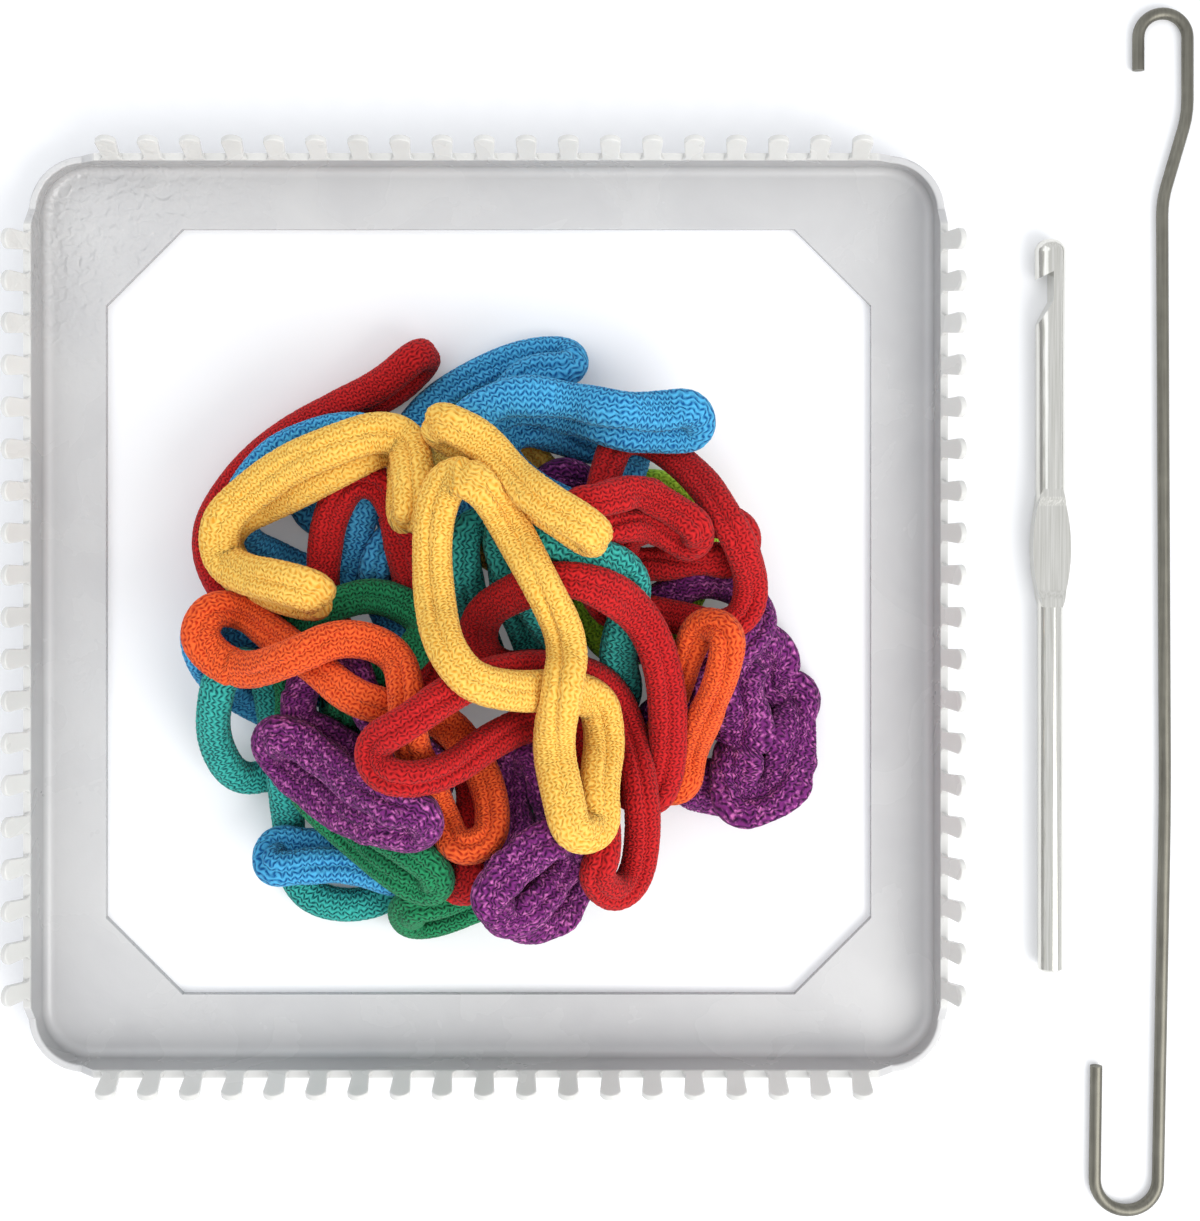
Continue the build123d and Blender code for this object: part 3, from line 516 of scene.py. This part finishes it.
# ---------------------------------------------------------------- materials
class Nodes:
    """A material's node tree, built up by short calls."""

    def __init__(self, name):
        self.material = bpy.data.materials.new(name)
        self.material.use_nodes = True
        self.tree = self.material.node_tree
        self.shader = self.tree.nodes["Principled BSDF"]
        self.output = self.tree.nodes["Material Output"]

    def add(self, kind, inputs=None, **settings):
        """A node with its settings and with what goes into its sockets."""
        node = self.tree.nodes.new(kind)
        for key, value in settings.items():
            setattr(node, key, value)
        for socket, content in (inputs or {}).items():
            self.plug(node, socket, content)
        return node

    def plug(self, node, socket, content):
        """Link another node's output to a socket, or set a constant on it."""
        if isinstance(content, bpy.types.NodeSocket):
            self.tree.links.new(content, node.inputs[socket])
        else:
            node.inputs[socket].default_value = content

    def surface(self, **sockets):
        """What goes into the shader's sockets; an underscore in a name stands for a space."""
        for socket, content in sockets.items():
            self.plug(self.shader, socket.replace("_", " "), content)

    def maths(self, operation, a, b=0.0, c=0.0, clamp=False):
        node = self.add("ShaderNodeMath", {0: a, 1: b, 2: c}, operation=operation, use_clamp=clamp)
        return node.outputs[0]

    def spread(self, value, size):
        """A value from 0 to 1 as a change by up to half of size to either side."""
        return self.maths("MULTIPLY_ADD", value, size, -size / 2)

    def noise(self, place, scale, detail, distortion=0.0):
        node = self.add("ShaderNodeTexNoise", {"Vector": place, "Scale": scale, "Detail": detail,
                                               "Distortion": distortion})
        return node.outputs["Fac"]

    def streaks(self, place, scale, stretch):
        """Noise drawn out along y, the way both hooks lie."""
        drawn = self.add("ShaderNodeMapping", {"Vector": place, "Scale": (1, stretch, 1)})
        return self.noise(drawn.outputs[0], scale, detail=3.0)

    def ramp(self, factor, stops):
        node = self.add("ShaderNodeValToRGB", {"Fac": factor})
        ramp = node.color_ramp
        while len(ramp.elements) < len(stops):
            ramp.elements.new(0.5)
        for element, (place, colour) in zip(ramp.elements, stops):
            element.position = place
            element.color = (*colour, 1)
        return node.outputs["Color"]

    def tone(self, factor, dark, light):
        """From a dark colour to a light one over the middle of a noise."""
        return self.ramp(factor, [(0.3, rgb(*dark)), (0.7, rgb(*light))])

    def mix(self, factor, a, b):
        return self.add("ShaderNodeMix", {0: factor, 6: a, 7: b}, data_type="RGBA").outputs[2]

    def bump(self, height, distance, strength=1.0):
        node = self.add("ShaderNodeBump", {"Height": height, "Distance": distance,
                                           "Strength": strength})
        return node.outputs["Normal"]

    def place(self):
        return self.add("ShaderNodeTexCoord").outputs["Object"]

    def along_z(self, vector):
        return self.add("ShaderNodeSeparateXYZ", {0: vector}).outputs[2]


def rgb(red, green, blue):
    """A colour as it looks on a screen, 0 to 255, as linear values."""
    return tuple(((v / 255 + 0.055) / 1.055) ** 2.4 if v > 10 else v / 255 / 12.92
                 for v in (red, green, blue))


def knit_material(name, light, dark, open_knit, fleck):
    """The back of a knit: rows of waving yarn, with painted shade between them, with stray fibres.

    Between two rows the painted shade is one line in an open knit, and else a dash at each half wave.
    """
    n = Nodes(name)
    place = n.place()
    fibres = n.noise(place, scale=3800.0, detail=2.0)
    patches = n.noise(place, scale=160.0, detail=3.0)
    stitches = n.add("ShaderNodeUVMap", uv_map="stitches").outputs["UV"]
    wave, row, _ = n.add("ShaderNodeSeparateXYZ", {0: stitches}).outputs
    # The same yarn as in the mesh, with edges that its fibres fray
    sway = n.maths("SINE", n.maths("MULTIPLY", wave, 2 * math.pi))
    swayed = n.maths("MULTIPLY_ADD", sway, -SWAY, row)
    swayed = n.maths("MULTIPLY_ADD", n.maths("SUBTRACT", fibres, 0.5), FRAYED, swayed)
    between = n.maths("COSINE", n.maths("MULTIPLY", swayed, 2 * math.pi))
    between = n.maths("POWER", n.maths("MULTIPLY_ADD", between, -0.5, 0.5), 0.85)
    dash = 0.16 if open_knit else 0.24
    dip = n.maths("COSINE", n.maths("MULTIPLY", wave, 4 * math.pi))
    dip = n.maths("MULTIPLY_ADD", dip, dash, 1 - dash)
    height = n.maths("SUBTRACT", 1.0, n.maths("MULTIPLY", between, dip))
    # Painted shade: the colour darkens where the yarn's height drops between rows; fibres and patches
    # change the tone at random
    shade = n.maths("MULTIPLY_ADD", height, 0.95, n.spread(fibres, 0.4))
    shade = n.maths("ADD", shade, n.spread(patches, 0.4), clamp=True)
    middle = tuple(0.5 * a + 0.5 * b for a, b in zip(light, dark))
    colour = n.ramp(shade, [(0.10, dark), (0.40, middle), (0.78, light)])
    if fleck:
        spots = n.noise(place, scale=900.0, detail=2.0)
        spots = n.maths("MULTIPLY", n.maths("SUBTRACT", spots, 0.5), 6.0, clamp=True)
        colour = n.mix(n.maths("MULTIPLY", spots, height), colour, (*fleck, 1))
    rough = n.maths("MULTIPLY_ADD", fibres, 0.3, height)
    n.surface(Base_Color=colour, Roughness=0.9, Specular_IOR_Level=0.2, Sheen_Weight=0.06,
              Sheen_Roughness=0.5, Normal=n.bump(rough, 0.24 * MM))
    return n.material


def plastic_material():
    """Milky moulded plastic: painted shade makes its steep sides greyer and painted light makes the
    pegs paler; it is rippled in one corner.
    """
    n = Nodes("frosted_plastic")
    place = n.place()
    clouds = n.noise(place, scale=45.0, detail=4.0, distortion=0.6)
    grain = n.noise(place, scale=1800.0, detail=2.0)
    # Painted shade: faces that stand steeper than level get a greyer colour than the level ones
    steepness = n.maths("ABSOLUTE", n.along_z(n.add("ShaderNodeNewGeometry").outputs["Normal"]))
    level = n.maths("MULTIPLY_ADD", steepness, 1.3, -0.15, clamp=True)
    # Painted light: above the pegs' start the plastic blends to a paler colour
    peg_light_mask = n.maths("MULTIPLY_ADD", n.along_z(place), 1 / PAINTED_LIGHT_BLEND, -PAINTED_LIGHT_START / PAINTED_LIGHT_BLEND, clamp=True)
    steep = n.tone(clouds, (166, 166, 167), (178, 178, 178))
    flat = n.tone(clouds, (200, 200, 201), (209, 209, 209))
    pale_painted_light = n.tone(clouds, (208, 208, 205), (220, 220, 217))
    # The plastic set unevenly in the corner at the back on the left
    away = n.add("ShaderNodeVectorMath", {0: place, 1: RIPPLE_SPOT}, operation="DISTANCE")
    away = n.maths("DIVIDE", away.outputs["Value"], RIPPLE_REACH)
    near = n.maths("SUBTRACT", 1.3, away, clamp=True)
    ripple = n.noise(place, scale=520.0, detail=1.0, distortion=0.5)
    relief = n.maths("MULTIPLY_ADD", grain, 0.12, clouds)
    relief = n.maths("MULTIPLY_ADD", n.maths("MULTIPLY", ripple, near), 5.0, relief)
    n.surface(Base_Color=n.mix(peg_light_mask, n.mix(level, steep, flat), pale_painted_light),
              Roughness=n.maths("MULTIPLY_ADD", clouds, 0.14, 0.20),
              Subsurface_Weight=0.2, Subsurface_Radius=(1, 1, 1), Subsurface_Scale=1.5 * MM,
              IOR=1.49, Normal=n.bump(relief, 0.15 * MM, 0.8))
    return n.material


def steel_material():
    """Drawn wire: dull, with streaks along its length."""
    n = Nodes("bare_steel")
    place = n.place()
    lines = n.streaks(place, scale=2600.0, stretch=0.03)
    marks = n.noise(place, scale=240.0, detail=4.0)
    tone = n.maths("MULTIPLY_ADD", lines, 0.6, n.maths("MULTIPLY", marks, 0.4))
    n.surface(Base_Color=n.tone(tone, (104, 102, 94), (132, 130, 120)), Metallic=1.0,
              Roughness=n.maths("MULTIPLY_ADD", tone, 0.25, 0.34),
              Normal=n.bump(lines, 0.02 * MM, 0.6))
    return n.material


def aluminium_material():
    """Burnished rod with fine scratches along it."""
    n = Nodes("bright_aluminium")
    lines = n.streaks(n.place(), scale=3200.0, stretch=0.02)
    n.surface(Base_Color=n.tone(lines, (206, 205, 198), (226, 225, 220)), Metallic=1.0,
              Roughness=n.maths("MULTIPLY_ADD", lines, 0.12, 0.10),
              Normal=n.bump(lines, 0.01 * MM, 0.5))
    return n.material


def dress(node, material):
    """Give a solid of the model its material."""
    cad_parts[node].data.materials.clear()
    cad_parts[node].data.materials.append(material)


# Of each colour: its yarn in the light, its yarn in painted shade between the rows, whether it is
# knitted openly, flecks
KNITS = {
    "yellow": (rgb(255, 210, 104), rgb(232, 160, 48), False, None),
    "orange": (rgb(250, 104, 46), rgb(188, 42, 14), False, None),
    "red": (rgb(206, 34, 36), rgb(116, 6, 14), False, None),
    "blue": (rgb(80, 180, 230), rgb(8, 84, 148), True, None),
    "teal": (rgb(62, 186, 174), rgb(2, 74, 80), True, None),
    "green": (rgb(40, 148, 96), rgb(2, 62, 38), False, None),
    "purple": (rgb(124, 42, 120), rgb(44, 8, 50), True, rgb(214, 116, 190)),
    "lime": (rgb(180, 232, 70), rgb(112, 170, 24), False, None),
}
COARSE = ("blue", "teal")

# What sets a loop's band apart: how it is rolled, how wide it is and how crumpled
OPTIONS = {
    "yellow_loop_2": {"width": 1.08},
    "yellow_loop_3": {"roll": math.pi, "twist": 0.15, "width": 1.15},
    "yellow_loop_4": {"width": 1.12},
    "orange_loop_1": {"width": 0.95},
    "teal_loop_1": {"roll": math.pi, "width": 0.95},
    "teal_loop_4": {"width": 1.1},
    "red_loop_1": {"width": 0.92},
    "red_loop_5": {"width": 0.95},
    "red_loop_6": {"width": 0.95, "crumple": 0.05},
    "red_loop_7": {"width": 1.1},
    "red_loop_8": {"width": 0.98},
    "blue_loop_7": {"roll": math.pi, "width": 1.1},
    "purple_loop_2": {"width": 1.6, "crumple": 0.08, "rows": 26},
    "purple_loop_3": {"width": 1.6, "crumple": 0.08, "rows": 26},
    "purple_loop_5": {"width": 1.5, "crumple": 0.08, "rows": 24},
    "purple_loop_6": {"width": 1.1, "crumple": 0.08},
    "purple_loop_7": {"crumple": 0.05},
    "purple_loop_8": {"width": 1.1, "crumple": 0.05},
}

plastic = plastic_material()
for node in ("loom_frame", "pegs_front", "pegs_back", "pegs_left", "pegs_right"):
    dress(node, plastic)
dress("weaving_hook", steel_material())
dress("crochet_hook", aluminium_material())
knits = {colour: knit_material(f"{colour}_knit", *looks) for colour, looks in KNITS.items()}

# ---------------------------------------------------------------- the heap
heap = np.zeros((0, 3))
lines = {}
for name, plan in LOOPS:
    route = lay(np.array(plan, dtype=float), heap)
    heap = np.vstack([heap, along(route)[0]])
    lines[name] = closed_curve(route)
for seed, (name, line) in enumerate(lines.items()):
    others = np.vstack([other[::2] for key, other in lines.items() if key != name])
    colour = name.split("_")[0]
    options = {"rows": COARSE_ROWS if colour in COARSE else ROWS, **OPTIONS.get(name, {})}
    piece = knit_band(f"{name}_knit", line, others, seed, options)
    piece.data.materials.append(knits[colour])
    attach(piece, "loops")
    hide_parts(name)

# ---------------------------------------------------------------- camera
camera_data = bpy.data.cameras.new("camera")
camera_data.sensor_width = SENSOR
camera_data.lens = SENSOR * CAMERA_SPOT[2] / (max(PICTURE) * TABLE_SIZE)
camera_data.shift_x = (PICTURE[0] / 2 - AXIS_PIXEL[0]) / max(PICTURE)
camera_data.shift_y = -(PICTURE[1] / 2 - AXIS_PIXEL[1]) / max(PICTURE)
camera_data.clip_start = 0.01
camera = bpy.data.objects.new("camera", camera_data)
camera.location = CAMERA_SPOT
bpy.context.scene.collection.objects.link(camera)
bpy.context.scene.camera = camera


# ---------------------------------------------------------------- floor and light
def floor():
    """A white table top; seen directly it is a little brighter, so that it reads as white."""
    n = Nodes("table")
    n.surface(Base_Color=(0.86, 0.87, 0.89, 1), Roughness=0.8, Specular_IOR_Level=0.1)
    path = n.add("ShaderNodeLightPath")
    seen = n.maths("MAXIMUM", path.outputs["Is Camera Ray"], path.outputs["Is Glossy Ray"])
    strength = n.maths("MULTIPLY", seen, TABLE_GLOW)
    glow = n.add("ShaderNodeEmission", {"Color": (1, 1, 1, 1), "Strength": strength})
    both = n.add("ShaderNodeAddShader", {0: n.shader.outputs[0], 1: glow.outputs[0]})
    n.plug(n.output, "Surface", both.outputs[0])
    mesh = bpy.data.meshes.new("table")
    near, far = -TABLE_REACH, TABLE_REACH
    mesh.from_pydata([(near, near, 0), (far, near, 0), (far, far, 0), (near, far, 0)], [],
                     [(0, 1, 2, 3)])
    mesh.materials.append(n.material)
    table = bpy.data.objects.new("table", mesh)
    bpy.context.scene.collection.objects.link(table)


def lamp(name, spot, size, watts, colour):
    """A square soft lamp at spot, facing the middle of the loom."""
    data = bpy.data.lights.new(name, "AREA")
    data.size = size
    data.energy = watts
    data.color = colour
    obj = bpy.data.objects.new(name, data)
    obj.location = spot
    obj.rotation_euler = (-Vector(spot)).to_track_quat("-Z", "Y").to_euler()
    bpy.context.scene.collection.objects.link(obj)


def studio():
    """Even light from all round, a little bluish."""
    world = bpy.data.worlds.new("studio")
    world.use_nodes = True
    background = world.node_tree.nodes["Background"]
    background.inputs["Color"].default_value = (0.97, 0.98, 1.0, 1)
    background.inputs["Strength"].default_value = 0.88
    bpy.context.scene.world = world


floor()
lamp("key", (0.50, -0.42, 0.60), size=0.6, watts=5.0, colour=(1.0, 0.985, 0.96))
lamp("fill", (-0.45, 0.35, 0.60), size=0.7, watts=1.0, colour=(0.93, 0.96, 1.0))
studio()
bpy.context.scene.view_settings.view_transform = "Standard"
